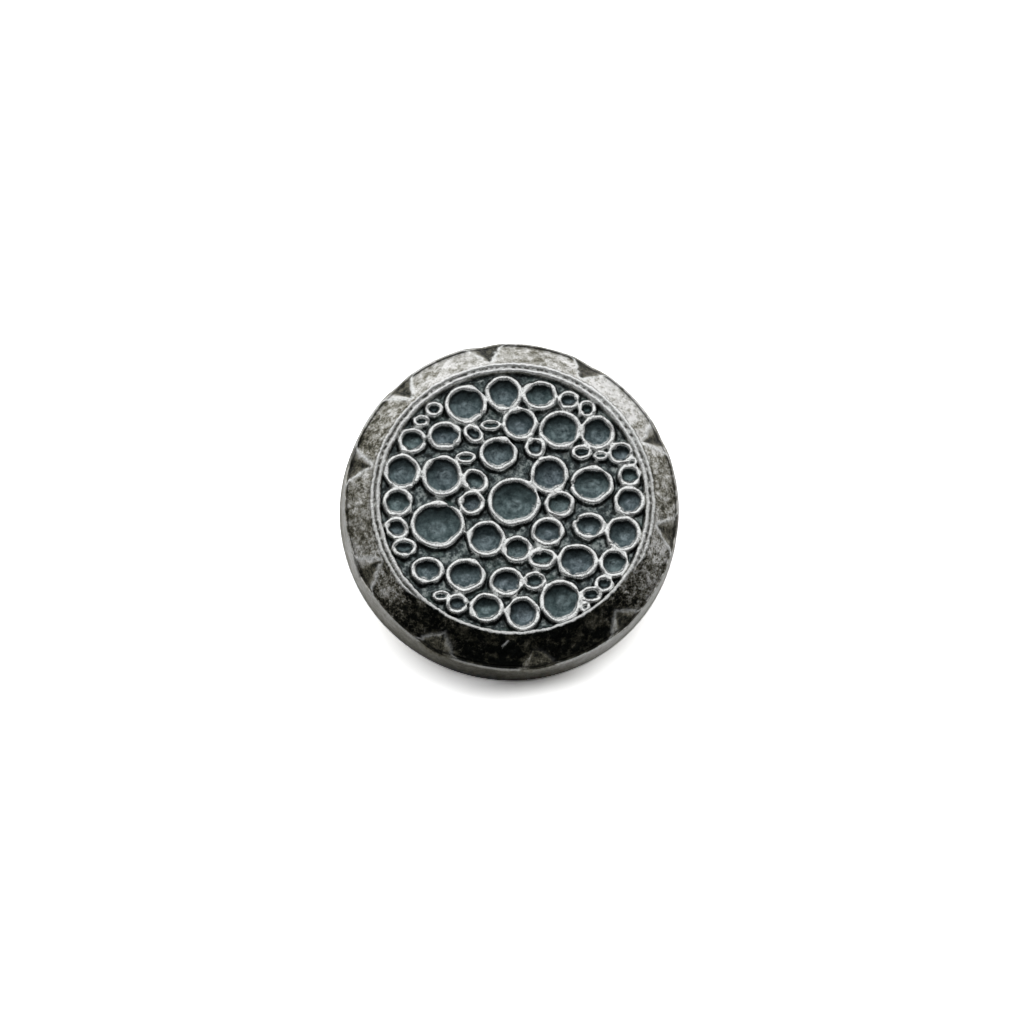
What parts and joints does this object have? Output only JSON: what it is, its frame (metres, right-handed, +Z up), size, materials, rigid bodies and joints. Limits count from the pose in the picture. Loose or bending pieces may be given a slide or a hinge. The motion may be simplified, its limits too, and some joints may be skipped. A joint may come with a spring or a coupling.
{
  "type": "shank button",
  "caption": "Round cast metal shank button with a notched bevelled rim and a sunk field of carved rings, sewn on by a thread eye behind.",
  "frame": {"origin": "middle of the button's footprint, on the surface that it lies on", "axes": "+Z up, -Y towards the rim edge that the button leans on, X along the thread eye"},
  "size_m": [0.015, 0.0142, 0.0087],
  "materials": {
    "antique_metal": "satin"
  },
  "bodies": {
    "root": {"button": "antique_metal"}
  },
  "joints": []
}
